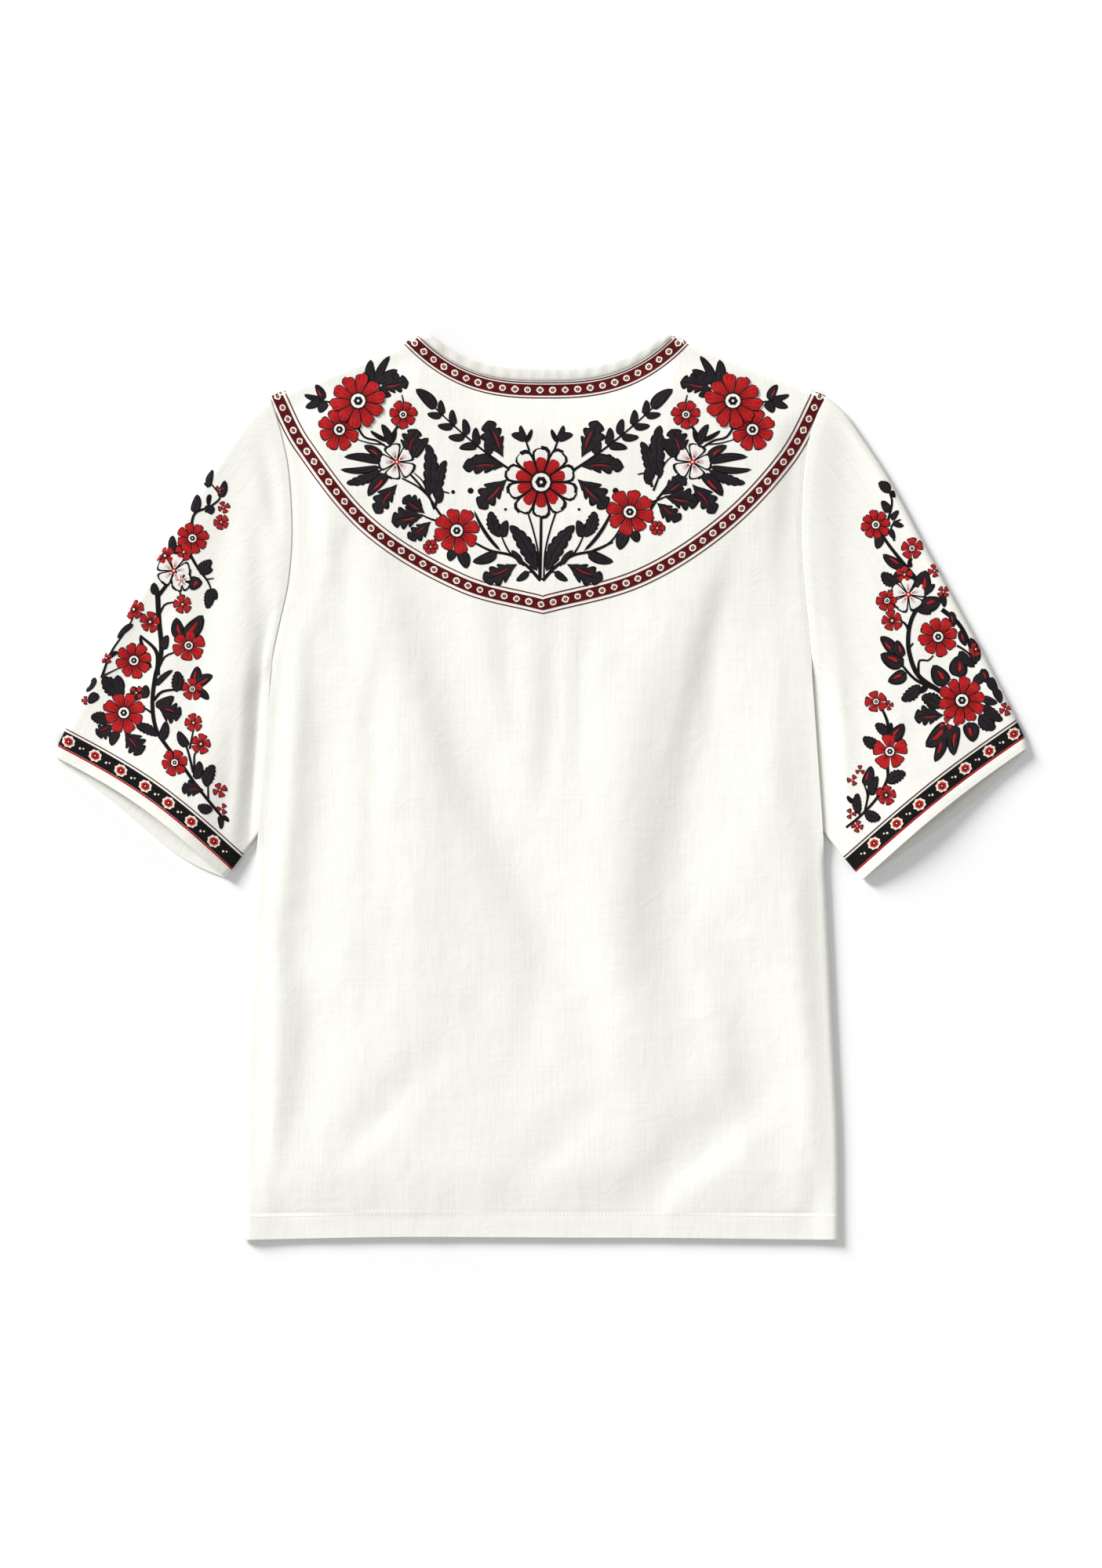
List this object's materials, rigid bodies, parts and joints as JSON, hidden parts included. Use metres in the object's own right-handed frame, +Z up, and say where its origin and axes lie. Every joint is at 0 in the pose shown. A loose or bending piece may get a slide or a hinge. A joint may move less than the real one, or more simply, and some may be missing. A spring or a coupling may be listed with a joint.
{
  "type": "v-neck blouse",
  "caption": "Short-sleeved v-neck linen blouse laid out flat with its back side up, bound neck, turned hems and open cuffs.",
  "frame": {"origin": "centre of the bounding box in plan, on the surface that the blouse lies on", "axes": "+Z up from the surface, +Y from the hem to the neck, +X to the right as seen from above, which is the wearer's right side"},
  "size_m": [0.7816, 0.7282, 0.0153],
  "materials": {
    "linen": "matt woven linen",
    "binding": "matt woven linen, doubled"
  },
  "bodies": {
    "root": {"back": "linen", "front": "linen", "sleeve_left": "linen", "sleeve_right": "linen", "neck_binding_back": "binding", "neck_binding_front": "binding"}
  },
  "joints": []
}
